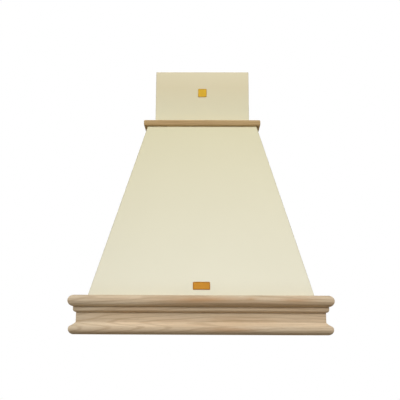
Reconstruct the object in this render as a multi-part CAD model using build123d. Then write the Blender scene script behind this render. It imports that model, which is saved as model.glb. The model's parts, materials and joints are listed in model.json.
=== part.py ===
from build123d import *
import os
from math import asin, cos, pi, radians, sin, sqrt

os.makedirs("parts", exist_ok=True)

# A wall-mounted cooker hood: cream steel canopy and chimney, bare timber moulding and rail,
# with its fan, filters, lamps and controls. Sizes are in millimetres. +X is right, +Y points
# at the wall and +Z is up. The origin is on the wall, at mid-width, level with the underside.

# ---- outer form ----
hood_width = 600.0  # over the moulding's bead
hood_depth = 490.0  # wall to the front of the bead
hood_height = 726.0  # underside to the chimney's open top
sheet = 1.0  # folded steel of canopy, chimney and panels
canopy_top = 558.0  # top of the canopy's flange, under the rail
return_width = 12.0  # folded edges that fix one sheet to the next
rail_flange = 16.0  # canopy's top flange, which the rail stands on

# ---- timber base moulding: a bead over an ovolo, a fascia and a rounded nose ----
moulding_height = 88.0
moulding_thickness = 38.0  # canopy skirt to the front of the bead
bead_radius = 13.0
ovolo_shoulder = 27.0  # skirt to the ovolo's upright shoulder
fascia_thickness = 20.7  # skirt to the flat fascia
fascia_foot = 27.5  # height where the fascia turns out into the hollow
fascia_head = 49.6  # height where the ovolo springs from the fascia
nose_radius = 11.5
nose_setback = 3.1  # nose behind the bead
nose_shoulder = 18.5  # height where the hollow meets the nose
hollow_depth = 0.8

# ---- timber top rail round the chimney's foot ----
rail_thickness = 18.0
rail_reach = 29.0  # chimney face to the rail's outer edge
rail_overhang = 10.0  # rail beyond the canopy's top edge
rail_front_overhang = 5.0  # the same in front, where the slope runs nearer to the edge
rail_edge_radius = 5.0
rail_gap = 0.3  # rail's inner edge to the chimney
largest_round = 0.49  # share of a board's thickness that the radius of an edge may take

# ---- chimney ----
chimney_width = 260.0
chimney_depth = 240.0
chimney_hem = 8.0  # doubled edge at the top
bracket_drop = 14.0  # chimney top to the wall bracket
bracket_height = 22.0
bracket_sheet = 1.5
bracket_tab = 20.0  # tab along the chimney's side
bracket_hole_radius = 3.0
bracket_hole_spacing = 160.0
sheet_screw_length = 6.0

# ---- wall fixing holes in the back panel ----
wall_hole_radius = 4.0
wall_hole_spacing_x = 220.0
wall_hole_spacing_z = 360.0
wall_hole_low = 135.0  # height of the lower pair

# ---- underside ----
recess_depth = 24.0  # underside to the panel
front_strip = 80.0  # canopy skirt to the filter openings
side_strip = 34.0
filter_thickness = 9.0
filter_clearance = 1.0  # filter to its opening, each side
filter_border = 12.0  # frame's visible edge
filter_front_rail = 30.0  # wider front edge that holds the latch
filter_skin = 0.8  # frame's folded aluminium
filter_grip = 6.0  # mesh pad held inside the border
mesh_pitch = 12.0  # pleats of the mesh
mesh_thickness = 1.2
filter_mullion = 16.0  # panel left between the two openings
filter_rear = 52.0  # wall to the openings' rear edge
filter_upstand = 10.0  # height of the strips beside each filter
tab_width = 30.0  # rear hooks of a filter
tab_reach = 8.0
tab_thickness = 1.2
tab_lift = 0.3  # hook above the panel
latch_width = 30.0
latch_length = 20.0
latch_thickness = 3.0
latch_travel = 5.0
latch_clearance = 0.3
latch_neck = 8.0
latch_slot_gap = 0.1  # tongue to the lower edge of its slot
thumb_width = 24.0
thumb_length = 14.0
thumb_thickness = 3.0
thumb_grooves = 3
groove_depth = 0.6

# ---- lamps ----
lamp_inset = 72.0  # canopy skirt to a lamp's centre, across the hood
lamp_setback = 40.0  # canopy skirt to a lamp's centre
lamp_radius = 30.0
lamp_wall = 1.5
lamp_height = 36.0
lens_thickness = 2.5
lens_ledge = 3.0  # bezel's hold on the lens
bezel_reach = 4.0  # bezel beyond the lamp
bezel_thickness = 2.5
bezel_bevel = 1.0
lamp_clearance = 0.3

# ---- controls ----
control_width = 150.0
control_length = 34.0
control_thickness = 2.0
control_corner = 5.5
control_slot_margin = 1.0  # button flanges to the slot in the panel
button_count = 5
button_pitch = 24.0
button_width = 14.0
button_length = 10.0
button_travel = 3.0
button_stand = 3.5  # button below the control plate
button_clearance = 0.3
button_flange = 1.5  # flange's overlap on the plate, and its thickness
button_stem = 4.0
button_bevel = 0.8
switch_height = 22.0
switch_leg = 4.0
switch_length = 20.0

# ---- fan: twin inlet, forward-curved blades, scroll laid out on a base square ----
fan_height = 395.0  # underside to the fan's axis
base_square = 13.0
scroll_radius = 88.0  # first quarter arc; each later one grows by the base square
scroll_width = 130.0  # inside
scroll_wall = 2.0
tongue_radius = 7.0
neck_inner = 30.0  # fan axis to the neck's front wall
neck_top = 505.0  # height of the scroll's outlet
joint_rib = 4.0  # rim along the joint of the two halves
joint_rib_thickness = 2.0
inlet_radius = 58.0
inlet_bell = 6.0  # growth of the inlet's radius towards its mouth
inlet_boss = 9.0  # thickened ring round the inlet
lip_thickness = 3.0
flange_thickness = 3.0
flange_reach = 8.0
wheel_radius = 73.0
blade_depth = 13.0
blade_lead = 9.0  # degrees that a blade's tip runs ahead of its root
blade_thickness = 0.9
blade_count = 32
blade_facets = 2  # flats along a blade's curve
blade_margin = 0.3  # blade's tip inside the wheel's rim
blade_grip = 3.0  # disc's rim past the blades' roots
wheel_width = 116.0
wheel_disc = 2.0
wheel_ring = 2.0
wheel_hub_radius = 11.0
wheel_hub_length = 12.0
shaft_radius = 4.0
shaft_fit = 0.02  # hub to shaft
shaft_clearance = 0.05  # motor bearing to shaft
motor_radius = 42.0
motor_gap = 4.0  # hub's end to motor
motor_bevel = 3.0
motor_waist_inset = 14.0  # motor's ends to the waist between its end caps
motor_waist_depth = 2.0
shaft_inset = 2.0  # shaft's end inside the motor's far boss
spider_radius = 25.0  # plate behind the motor
arm_width = 10.0
arm_count = 3
guard_rings = 2
guard_bar = 2.5

# ---- outlet ----
collar_radius = 75.0  # outside, for a 150 mm duct
collar_wall = 2.5
collar_height = 45.0
collar_flange = 13.0
collar_flange_thickness = 2.5
flap_thickness = 1.2
flap_clearance = 2.0  # flap's edge to the collar
flap_ledge = 5.0
flap_height = 6.0  # top plate to the flap pin
knuckle_radius = 2.5
pin_radius = 1.0
pin_clearance = 0.05
flap_setback = 3.2  # flap's straight edge to the pin's axis
knuckle_count = 4
knuckle_gap = 0.4
knuckle_room = 1.0  # knuckles to the gap in the ledge
flap_end_gap = 10.0  # hinge's end to the flap's edge

# ---- electrics ----
terminal_width = 70.0
terminal_height = 60.0
terminal_depth = 34.0
terminal_wall = 2.0
terminal_offset = 150.0  # mid-width to the box's outer side
terminal_floor = 392.0  # height of the box's underside
lid_corner = 3.0
capacitor_radius = 14.0
capacitor_length = 50.0
strap_width = 10.0
gland_radius = 8.0
gland_offset = 104.0
gland_setback = 30.0
gland_lip = 3.0
gland_under = 4.0  # gland below the top plate
gland_over = 10.0  # gland above it
gland_bevel = 2.0

# ---- fixings ----
screw_radius = 2.0
screw_head_radius = 3.6
screw_head = 2.4
screw_hole_clearance = 0.05
wood_screw_length = 22.0
bead_screw_height = 75.0
rim_screw_height = 10.0
spline_thickness = 4.0  # loose tongue across a mitre
spline_length = 10.0
spline_width = 12.0
spline_clearance = 0.05
spline_inset = 8.0  # skirt's corner to the tongue, along the mitre
rail_screw_grip = 0.7  # share of the rail's thickness that its screws reach

# ---- sizes that follow ----
ovolo_radius = ovolo_shoulder - fascia_thickness
skirt_half = hood_width / 2 - moulding_thickness
skirt_front = hood_depth - moulding_thickness
chimney_half = chimney_width / 2
rail_half = chimney_half + rail_reach
rail_front = chimney_depth + rail_reach
top_half = rail_half - rail_overhang
top_front = rail_front - rail_front_overhang
flange_under = canopy_top - sheet  # underside of the canopy's flange
plate_under = flange_under - sheet  # underside of the top plate
panel_top = recess_depth + sheet
lamp_offset = skirt_half - lamp_inset
opening_near = filter_mullion / 2
opening_width = skirt_half - side_strip - opening_near
opening_rear = -filter_rear
opening_front = -(skirt_front - front_strip)
filter_low = recess_depth  # filters lie flush with the panel
duct_y = -chimney_depth / 2
scroll_end = base_square / 2 + scroll_radius + 2 * base_square  # fan axis to the neck's rear wall
fan_y = duct_y - (neck_inner + scroll_end) / 2
scroll_side = scroll_width / 2 + scroll_wall
rail_screw_length = 2 * sheet + rail_screw_grip * rail_thickness
everywhere = 2000.0  # beyond every face
past = 1.0  # a cut's overshoot past the faces it opens


def block(x, y, z):
    """A block between three pairs of limits."""
    middle = [(a + b) / 2 for a, b in (x, y, z)]
    return Pos(*middle) * Box(x[1] - x[0], y[1] - y[0], z[1] - z[0])


def both_sides(reach):
    return (-reach, reach)


def prism(points, low, high):
    """An upright prism over a plan outline."""
    return extrude(Pos(0, 0, low) * make_face(Polyline(*points, close=True)), high - low)


def rod(start, end, radius):
    """A round bar between two points."""
    start, end = Vector(*start), Vector(*end)
    return extrude(Plane(origin=start, z_dir=end - start) * Circle(radius), (end - start).length)


def screw(seat, direction, length):
    """A pan-head screw whose head lies on the seat and whose shank points along direction."""
    seat, direction = Vector(*seat), Vector(*direction)
    head = rod(seat - direction * screw_head, seat, screw_head_radius)
    return head + rod(seat, seat + direction * length, screw_radius)


def screw_holes(seats, direction, length):
    """Holes that the screws of screw() pass through."""
    direction = Vector(*direction)
    holes = []
    for seat in seats:
        seat = Vector(*seat)
        far = seat + direction * (length + past)
        holes.append(rod(seat - direction * past, far, screw_radius + screw_hole_clearance))
    return holes


# ---------------------------------------------------------------- canopy

def canopy_form(inset, wide=0.0):
    """The canopy's form drawn in by an inset: an upright skirt below a taper to the rail."""
    low_half, high_half = (wide, wide) if wide else (skirt_half - inset, top_half - inset)
    low_front, high_front = skirt_front - inset, top_front - inset
    skirt = block(both_sides(low_half), (-low_front, 0), (0, moulding_height))
    low = Pos(0, -low_front / 2, moulding_height) * Rectangle(2 * low_half, low_front)
    high = Pos(0, -high_front / 2, canopy_top) * Rectangle(2 * high_half, high_front)
    return skirt + loft([low, high], ruled=True)


def canopy_shell():
    """Skirt, taper, top flange and rear returns before they are parted at the corners."""
    hollow = canopy_form(sheet)
    hollow &= block(both_sides(everywhere), (-everywhere, -2 * sheet), (-past, flange_under))
    rear = canopy_form(sheet + return_width)
    rear &= block(both_sides(everywhere), (-3 * sheet, 0), (-past, flange_under))
    mouth = block(
        both_sides(top_half - rail_flange),
        (-(top_front - rail_flange), past),
        (flange_under - past, canopy_top + past),
    )
    body = canopy_form(0)
    body &= block(both_sides(everywhere), (-everywhere, -sheet), (-past, canopy_top + past))
    return body - hollow - rear - mouth


def side_of_mitre(half, front, side, low, high):
    """Everything beside a 45 degree mitre that starts at a corner in plan."""
    points = [
        (side * half, past),
        (side * everywhere, past),
        (side * everywhere, -(front + everywhere - half)),
        (side * half, -front),
    ]
    return prism(points, low, high)


def canopy_panels():
    """Front panel and two side panels, welded along the corners."""
    shell = canopy_shell()
    behind_front = canopy_form(sheet, wide=everywhere) & block(
        both_sides(everywhere), (-everywhere, 0), (-past, flange_under)
    )
    front = shell - behind_front
    for side in (-1, 1):
        front = front - side_of_mitre(top_half, top_front, side, flange_under, canopy_top)
    sides = shell - front
    left = sides & block((-everywhere, 0), (-everywhere, past), (-past, canopy_top + past))
    right = sides & block((0, everywhere), (-everywhere, past), (-past, canopy_top + past))
    return front, left, right


def wall_holes():
    holes = []
    for x in both_sides(wall_hole_spacing_x / 2):
        for z in (wall_hole_low, wall_hole_low + wall_hole_spacing_z):
            holes.append(rod((x, -sheet - past, z), (x, past, z), wall_hole_radius))
    return holes


def back_panel():
    """Flat sheet on the wall, with the holes that the hood hangs from."""
    panel = canopy_form(0) & block(both_sides(everywhere), (-sheet, 0), (-past, flange_under))
    return panel - wall_holes()


def rail_screw_seats():
    """Under the top plate, on the middle of the flange that carries the rail."""
    reach = top_half - rail_flange / 2
    front = -(top_front - rail_flange / 2)
    seats = [(x, front, plate_under) for x in (-reach / 2, reach / 2)]
    return seats + [(x, front / 2, plate_under) for x in both_sides(reach)]


def collar_screw_seats(height):
    reach = (collar_radius + collar_flange / 2) / sqrt(2)
    return [(x, duct_y + y, height) for x in both_sides(reach) for y in both_sides(reach)]


def top_plate():
    """Flat plate under the canopy's flange: it carries chimney, collar and fan."""
    half, front = top_half - 2 * sheet, top_front - 2 * sheet
    plate = block(both_sides(half), (-front, -2 * sheet), (plate_under, flange_under))
    plate -= rod((0, duct_y, 0), (0, duct_y, canopy_top), collar_radius - collar_wall)
    gland = (gland_offset, -gland_setback)
    plate -= rod((*gland, 0), (*gland, everywhere), gland_radius)
    plate -= screw_holes(rail_screw_seats(), (0, 0, 1), rail_thickness)
    return plate - screw_holes(collar_screw_seats(plate_under), (0, 0, 1), rail_thickness)


# ---------------------------------------------------------------- chimney

def chimney_screw_seats():
    """On the chimney's two sides, with the side each one is on."""
    height = hood_height - bracket_drop - bracket_height / 2
    depth = -bracket_sheet - bracket_tab / 2
    return [(side * chimney_half, depth, height, side) for side in (-1, 1)]


def chimney_screw_holes():
    """Holes through the chimney's sides and the bracket's tabs."""
    holes = []
    for x, y, z, side in chimney_screw_seats():
        inside = x - side * (sheet + bracket_sheet + past)
        holes.append(rod((inside, y, z), (x + side * past, y, z), screw_radius + screw_hole_clearance))
    return holes


def chimney_cover():
    """Three-sided sleeve, open at the wall, with a foot ring below and a doubled top edge."""
    inner = chimney_half - sheet
    inner_front = chimney_depth - sheet
    cover = block(both_sides(chimney_half), (-chimney_depth, 0), (flange_under, hood_height))
    hem_low = hood_height - chimney_hem
    cover -= block(both_sides(inner), (-inner_front, past), (canopy_top, hem_low))
    cover -= block(
        both_sides(inner - sheet), (-(inner_front - sheet), past), (hem_low, hood_height + past)
    )
    cover -= block(
        both_sides(inner - return_width), (-(inner_front - return_width), past), (0, canopy_top + past)
    )
    return cover - chimney_screw_holes()


def chimney_bracket():
    """Strip on the wall with two tabs that the chimney's sides screw to."""
    inner = chimney_half - sheet
    high = hood_height - bracket_drop
    low = high - bracket_height
    bracket = block(both_sides(inner), (-bracket_sheet, 0), (low, high))
    for side in (-1, 1):
        edges = sorted((side * inner, side * (inner - bracket_sheet)))
        bracket += block(edges, (-bracket_sheet - bracket_tab, 0), (low, high))
        x, z = side * bracket_hole_spacing / 2, (low + high) / 2
        bracket -= rod((x, -bracket_sheet - past, z), (x, past, z), bracket_hole_radius)
    return bracket - chimney_screw_holes()


def chimney_screws():
    return [
        screw((x, y, z), (-side, 0, 0), sheet_screw_length) for x, y, z, side in chimney_screw_seats()
    ]


# ---------------------------------------------------------------- timber

def moulding_profile():
    """Section of the base moulding: x runs out from the skirt and y runs up."""
    bead_x = moulding_thickness - bead_radius
    bead_y = moulding_height - bead_radius
    ovolo_y = fascia_head + ovolo_radius
    nose_x = moulding_thickness - nose_setback - nose_radius
    shoulder_x = nose_x + sqrt(nose_radius**2 - (nose_shoulder - nose_radius) ** 2)
    hollow = Vector((shoulder_x + fascia_thickness) / 2, (nose_shoulder + fascia_foot) / 2)
    hollow -= Vector(fascia_foot - nose_shoulder, shoulder_x - fascia_thickness).normalized() * hollow_depth
    nose_turn = (asin((nose_shoulder - nose_radius) / nose_radius) - pi / 2) / 2
    outline = [
        Line((0, 0), (nose_x, 0)),
        ThreePointArc(
            (nose_x, 0),
            (nose_x + nose_radius * cos(nose_turn), nose_radius + nose_radius * sin(nose_turn)),
            (shoulder_x, nose_shoulder),
        ),
        ThreePointArc((shoulder_x, nose_shoulder), hollow, (fascia_thickness, fascia_foot)),
        Line((fascia_thickness, fascia_foot), (fascia_thickness, fascia_head)),
        ThreePointArc(
            (fascia_thickness, fascia_head),
            (fascia_thickness + ovolo_radius * sqrt(0.5), ovolo_y - ovolo_radius * sqrt(0.5)),
            (ovolo_shoulder, ovolo_y),
        ),
        Line((ovolo_shoulder, ovolo_y), (ovolo_shoulder, bead_y - bead_radius)),
        Line((ovolo_shoulder, bead_y - bead_radius), (bead_x, bead_y - bead_radius)),
        ThreePointArc(
            (bead_x, bead_y - bead_radius), (moulding_thickness, bead_y), (bead_x, moulding_height)
        ),
        Line((bead_x, moulding_height), (0, moulding_height)),
        Line((0, moulding_height), (0, 0)),
    ]
    return make_face(outline)


def rail_profile():
    """Section of the top rail: a board with two rounded outer edges."""
    width = rail_reach - rail_gap
    board = Pos(width / 2, rail_thickness / 2) * Rectangle(width, rail_thickness)
    outer = board.vertices().sort_by(Axis.X)[-2:]
    return fillet(outer, min(rail_edge_radius, largest_round * rail_thickness))


def mitred_boards(profile, half, front, floor, thickness, height):
    """Front, left and right boards of one profile round three sides, mitred at the front."""
    span = 2 * (half + thickness)
    reach = front + thickness
    corner = half + thickness
    front_board = extrude(Plane((span / 2, -front, floor), (0, -1, 0), (-1, 0, 0)) * profile, span)
    wedge = [(-half, -front), (half, -front), (corner, -reach), (-corner, -reach)]
    front_board &= prism(wedge, floor - past, floor + height + past)
    sides = []
    for side in (-1, 1):
        start = (side * half, 0 if side > 0 else -reach, floor)
        run = extrude(Plane(start, (side, 0, 0), (0, -side, 0)) * profile, reach)
        plan = [(side * half, 0), (side * corner, 0), (side * corner, -reach), (side * half, -front)]
        sides.append(run & prism(plan, floor - past, floor + height + past))
    return [front_board] + sides


def mitre_splines(half, front, middle, height, clearance=0.0):
    """Loose tongues that lie across the two mitres."""
    grown = [size + 2 * clearance for size in (spline_length, spline_width, spline_thickness)]
    offset = middle / sqrt(2)
    return [
        Pos(side * (half + offset), -(front + offset), height) * Rot(0, 0, -side * 45) * Box(*grown)
        for side in (-1, 1)
    ]


base_spline_middle = spline_length / 2 + spline_inset
base_spline_height = (fascia_foot + fascia_head) / 2
rail_spline_middle = (rail_reach - rail_gap) / sqrt(2)
rail_spline_height = canopy_top + rail_thickness / 2
rail_inner_half = chimney_half + rail_gap
rail_inner_front = chimney_depth + rail_gap


def wall_screw_seats(inset, height, side_count):
    """Screw seats on the inner faces of three upright walls, with each one's direction."""
    half, front = skirt_half - inset, skirt_front - inset
    seats = [((x, -front, height), (0, -1, 0)) for x in (-half / 2, half / 2)]
    for side in (-1, 1):
        for i in range(side_count):
            y = -front * (i + 0.5) / side_count
            seats.append(((side * half, y, height), (side, 0, 0)))
    return seats


bead_screw_seats = wall_screw_seats(sheet, bead_screw_height, 2)
rim_screw_seats = wall_screw_seats(2 * sheet, rim_screw_height, 1)


def seat_holes(seats):
    holes = []
    for seat, direction in seats:
        holes += screw_holes([seat], direction, wood_screw_length)
    return holes


def base_mouldings():
    boards = mitred_boards(
        moulding_profile(), skirt_half, skirt_front, 0, moulding_thickness, moulding_height
    )
    slots = mitre_splines(
        skirt_half, skirt_front, base_spline_middle, base_spline_height, spline_clearance
    )
    cuts = slots + seat_holes(bead_screw_seats + rim_screw_seats)
    return [board - cuts for board in boards]


def top_rails():
    boards = mitred_boards(
        rail_profile(), rail_inner_half, rail_inner_front, canopy_top, rail_reach - rail_gap, rail_thickness
    )
    slots = mitre_splines(
        rail_inner_half, rail_inner_front, rail_spline_middle, rail_spline_height, spline_clearance
    )
    cuts = slots + screw_holes(rail_screw_seats(), (0, 0, 1), rail_screw_length)
    return [board - cuts for board in boards]


# ---------------------------------------------------------------- underside

def opening_limits(side):
    """The x limits of one filter opening."""
    return sorted((side * opening_near, side * (opening_near + opening_width)))


lamp_y = -(skirt_front - lamp_setback)
control_y = lamp_y
button_row = [(i - (button_count - 1) / 2) * button_pitch for i in range(button_count)]
control_slot_half = button_pitch * (button_count - 1) / 2 + button_width / 2
control_slot_half += 2 * button_flange + control_slot_margin
control_slot_side = button_length / 2 + 2 * button_flange


def recess_rim():
    """Upright strip inside the skirt that the bottom panel lies on."""
    half, front = skirt_half - sheet, skirt_front - sheet
    rim = block(both_sides(half), (-front, -2 * sheet), (0, recess_depth))
    rim -= block(
        both_sides(half - sheet), (-(front - sheet), -3 * sheet), (-past, recess_depth + past)
    )
    return rim - seat_holes(rim_screw_seats)


def bottom_panel():
    """Recessed panel with two filter openings, two lamp holes and a control slot."""
    half, front = skirt_half - sheet, skirt_front - sheet
    panel = block(both_sides(half), (-front, -2 * sheet), (recess_depth, panel_top))
    for side in (-1, 1):
        panel -= block(opening_limits(side), (opening_front, opening_rear), (-past, panel_top + past))
        x = side * lamp_offset
        panel -= rod((x, lamp_y, 0), (x, lamp_y, panel_top + past), lamp_radius + lamp_clearance)
    slot = (control_y - control_slot_side, control_y + control_slot_side)
    return panel - block(both_sides(control_slot_half), slot, (-past, panel_top + past))


def filter_guides():
    """Upright strips on the panel, one along each side of both filter openings."""
    guides = []
    for side in (-1, 1):
        near, far = opening_limits(side)
        for edge in ((near - sheet, near), (far, far + sheet)):
            heights = (panel_top, panel_top + filter_upstand)
            guides.append(block(edge, (opening_front, opening_rear), heights))
    return guides


def filter_frame(side):
    """Folded aluminium channel round the mesh, with two rear hooks and a latch case in front."""
    near, far = opening_limits(side)
    near, far = near + filter_clearance, far - filter_clearance
    rear, front = opening_rear - filter_clearance, opening_front + filter_clearance
    middle = (near + far) / 2
    high = filter_low + filter_thickness
    frame = block((near, far), (front, rear), (filter_low, high))
    window_front = front + filter_front_rail
    frame -= block(
        (near + filter_border, far - filter_border),
        (window_front, rear - filter_border),
        (filter_low - past, high + past),
    )
    frame -= block(
        (near + filter_skin, far - filter_skin),
        (front + filter_skin, rear - filter_skin),
        (filter_low + filter_skin, high - filter_skin),
    )
    hook_low = panel_top + tab_lift
    hook_limits = (rear - filter_skin, opening_rear + tab_reach)
    for x in (near + filter_border, far - filter_border - tab_width):
        frame += block((x, x + tab_width), hook_limits, (hook_low, hook_low + tab_thickness))
    half = latch_width / 2
    tongue_low = panel_top + tab_lift
    frame -= block(
        (middle - half, middle + half),
        (front - past, front + filter_skin + past),
        (tongue_low - latch_slot_gap, tongue_low + latch_thickness + latch_clearance),
    )
    neck = latch_neck / 2
    slot_rear = front + latch_length
    frame -= block(
        (middle - neck, middle + neck),
        (slot_rear - latch_neck - latch_travel - latch_clearance, slot_rear + latch_clearance),
        (0, filter_low + filter_skin + past),
    )
    return frame


def filter_mesh(side):
    """Pleated aluminium mesh gripped in the frame's channel."""
    near, far = opening_limits(side)
    inset = filter_clearance + filter_border - filter_grip
    front = opening_front + filter_clearance + filter_front_rail - filter_grip
    start, span = near + inset, far - near - 2 * inset
    count = max(2, round(span / (mesh_pitch / 2)))
    low = filter_low + filter_skin
    high = filter_low + filter_thickness - filter_skin - mesh_thickness
    ridge = [(start + i * span / count, high if i % 2 else low) for i in range(count + 1)]
    outline = ridge + [(x, z + mesh_thickness) for x, z in reversed(ridge)]
    rear = opening_rear - inset
    pleats = Plane((0, rear, 0), (1, 0, 0), (0, -1, 0)) * make_face(Polyline(*outline, close=True))
    return extrude(pleats, rear - front)


def filter_latch(side):
    """Sliding latch: tongue inside the frame, neck through its slot, thumb pad below."""
    middle = sum(opening_limits(side)) / 2
    front = opening_front + filter_clearance
    half = latch_width / 2 - latch_clearance
    low = panel_top + tab_lift
    width = (middle - half, middle + half)
    latch = block(width, (front, front + latch_length), (low, low + latch_thickness))
    neck = latch_neck / 2 - latch_clearance
    neck_rear = front + latch_length
    pad_top = filter_low - latch_clearance
    latch += block((middle - neck, middle + neck), (neck_rear - 2 * neck, neck_rear), (pad_top, low))
    pad_middle = neck_rear - neck
    pad = block(
        (middle - thumb_width / 2, middle + thumb_width / 2),
        (pad_middle - thumb_length / 2, pad_middle + thumb_length / 2),
        (pad_top - thumb_thickness, pad_top),
    )
    pad = fillet(pad.edges().filter_by(Axis.Z), thumb_length / 4)
    pitch = thumb_length / (thumb_grooves + 1)
    for i in range(thumb_grooves):
        y = pad_middle - thumb_length / 2 + (i + 1) * pitch
        pad -= block(
            (middle - thumb_width / 3, middle + thumb_width / 3),
            (y - groove_depth, y + groove_depth),
            (pad_top - thumb_thickness - past, pad_top - thumb_thickness + groove_depth),
        )
    return latch + pad


def lamp_parts(side):
    """Bezel ring under the panel, glass lens on its ledge and a lamp case above."""
    x = side * lamp_offset
    low = recess_depth - bezel_thickness

    def disc(radius, bottom, top):
        return rod((x, lamp_y, bottom), (x, lamp_y, top), radius)

    case_inner = lamp_radius - lamp_wall
    lens_radius = case_inner - lamp_clearance
    bezel = disc(lamp_radius + bezel_reach, low, recess_depth)
    bezel = chamfer(bezel.edges().group_by(Axis.Z)[0], bezel_bevel)
    bezel -= disc(lens_radius - lens_ledge, low - past, recess_depth + past)
    lens = disc(lens_radius, recess_depth, recess_depth + lens_thickness)
    case = disc(lamp_radius, recess_depth, recess_depth + lamp_height)
    case -= disc(case_inner, recess_depth - past, recess_depth + lamp_height - lamp_wall)
    return bezel, lens, case


def control_plate():
    """Plate under the panel with one window for each button."""
    low = recess_depth - control_thickness
    plate = block(
        both_sides(control_width / 2),
        (control_y - control_length / 2, control_y + control_length / 2),
        (low, recess_depth),
    )
    plate = fillet(plate.edges().filter_by(Axis.Z), control_corner)
    half, side = button_width / 2, button_length / 2
    window = (control_y - side, control_y + side)
    for x in button_row:
        plate -= block((x - half, x + half), window, (low - past, recess_depth + past))
    return plate


def push_button(x):
    """Button with bevelled edges, a stop flange above the plate and a stem to the switch."""
    low = recess_depth - control_thickness - button_stand
    half = button_width / 2 - button_clearance
    side = button_length / 2 - button_clearance
    flange_low = recess_depth + button_clearance
    body = block((x - half, x + half), (control_y - side, control_y + side), (low, flange_low))
    body = chamfer(body.edges().group_by(Axis.Z)[0], button_bevel)
    body += block(
        (x - half - button_flange, x + half + button_flange),
        (control_y - side - button_flange, control_y + side + button_flange),
        (flange_low, flange_low + button_flange),
    )
    stem = button_stem / 2
    top = flange_low + button_flange + 2 * button_travel
    return body + block((x - stem, x + stem), (control_y - stem, control_y + stem), (flange_low, top))


switch_low = recess_depth + 2 * button_clearance + button_flange + 3 * button_travel


def switch_unit():
    """Switch block over the buttons, standing on two legs on the panel."""
    half = control_slot_half + switch_leg
    unit = block(
        both_sides(half),
        (control_y - switch_length / 2, control_y + switch_length / 2),
        (panel_top, switch_low + switch_height),
    )
    gap = (control_y - switch_length, control_y + switch_length)
    return unit - block(both_sides(half - switch_leg), gap, (0, switch_low))


# ---------------------------------------------------------------- fan

def scroll_face(grow):
    """Scroll outline in the plane across the fan's axis, with x towards the wall and y up.

    Three quarter arcs swing about corners of the base square, each a square's side larger than
    the last, and run into an upright neck. grow widens it evenly.
    """
    corner = base_square / 2
    first = scroll_radius + grow
    second, third = first + base_square, first + 2 * base_square
    centres = [(-corner, -corner), (corner, -corner), (corner, corner)]
    radii = [first, second, third]
    turn = sqrt(0.5)
    edges = []
    for centre, radius, begin in zip(centres, radii, (90, 180, 270)):
        points = [
            (centre[0] + radius * cos(radians(a)), centre[1] + radius * sin(radians(a)))
            for a in (begin, begin + 45, begin + 90)
        ]
        edges.append(ThreePointArc(*points))
    top = neck_top - fan_height
    rear = corner + third
    near = neck_inner - grow
    tongue = first - corner
    nose = tongue_radius - grow
    edges += [
        Line((rear, corner), (rear, top)),
        Line((rear, top), (near, top)),
        Line((near, top), (near, tongue + nose)),
        ThreePointArc(
            (near, tongue + nose),
            (near - nose * (1 - turn), tongue + nose * (1 - turn)),
            (near - nose, tongue),
        ),
        Line((near - nose, tongue), (-corner, tongue)),
    ]
    return make_face(edges)


def fan_plane(x):
    """The plane across the fan's axis at x."""
    return Plane((x, fan_y, fan_height), (0, 1, 0), (1, 0, 0))


def along_fan(face, start, end):
    """A face of the fan's cross plane pushed along the fan's axis."""
    return extrude(fan_plane(start) * face, end - start)


def fan_ring(outer, inner, start, end):
    return along_fan(Circle(outer) - Circle(inner), start, end)


def neck_limits(grow):
    """The neck's y limits, widened by grow."""
    return (fan_y + neck_inner - grow, fan_y + scroll_end + grow)


def inlet_bore(side):
    """The inlet's air path: a bell that narrows from its mouth to the wheel's eye."""
    depth = scroll_wall + lip_thickness
    mouth = fan_plane(side * scroll_side) * Circle(inlet_radius + inlet_bell)
    eye = fan_plane(side * (scroll_side - depth)) * Circle(inlet_radius)
    return loft([mouth, eye], ruled=True)


def scroll_half(side):
    """One half of the fan's scroll housing, parted at mid-width."""
    shell = along_fan(scroll_face(scroll_wall), *sorted((0, side * scroll_side)))
    shell += along_fan(scroll_face(scroll_wall + joint_rib), *sorted((0, side * joint_rib_thickness)))
    shell -= along_fan(scroll_face(0), *sorted((0, side * scroll_width / 2)))
    boss = sorted((side * scroll_side, side * (scroll_side - scroll_wall - lip_thickness)))
    shell += along_fan(Circle(inlet_radius + inlet_boss), *boss)
    shell -= inlet_bore(side)
    reach = sorted((0, side * (scroll_side + flange_reach)))
    shell += block(reach, neck_limits(scroll_wall + flange_reach), (neck_top - flange_thickness, neck_top))
    mouth = sorted((-side * past, side * scroll_width / 2))
    return shell - block(mouth, neck_limits(0), (neck_top - 2 * flange_thickness, neck_top + past))


def outlet_adapter():
    """Square-to-round transition from the scroll's neck to the collar, with a flange at each end."""
    near, far = neck_limits(0)
    middle, depth = (near + far) / 2, far - near
    foot_top = neck_top + flange_thickness
    rim_low = plate_under - flange_thickness

    def funnel(grow):
        low_face = Pos(0, middle, foot_top) * Rectangle(scroll_width + 2 * grow, depth + 2 * grow)
        high_face = Pos(0, duct_y, rim_low) * Circle(collar_radius - collar_wall + grow)
        return loft([low_face, high_face], ruled=True)

    foot_side = both_sides(scroll_side + flange_reach)
    foot = block(foot_side, neck_limits(scroll_wall + flange_reach), (neck_top, foot_top))
    foot -= block(both_sides(scroll_width / 2), (near, far), (neck_top - past, foot_top + past))
    rim = rod((0, duct_y, rim_low), (0, duct_y, plate_under), collar_radius + collar_flange)
    rim -= rod((0, duct_y, 0), (0, duct_y, everywhere), collar_radius - collar_wall)
    rim -= screw_holes(collar_screw_seats(rim_low), (0, 0, 1), flange_thickness)
    return foot + (funnel(scroll_wall) - funnel(0)) + rim


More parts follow.
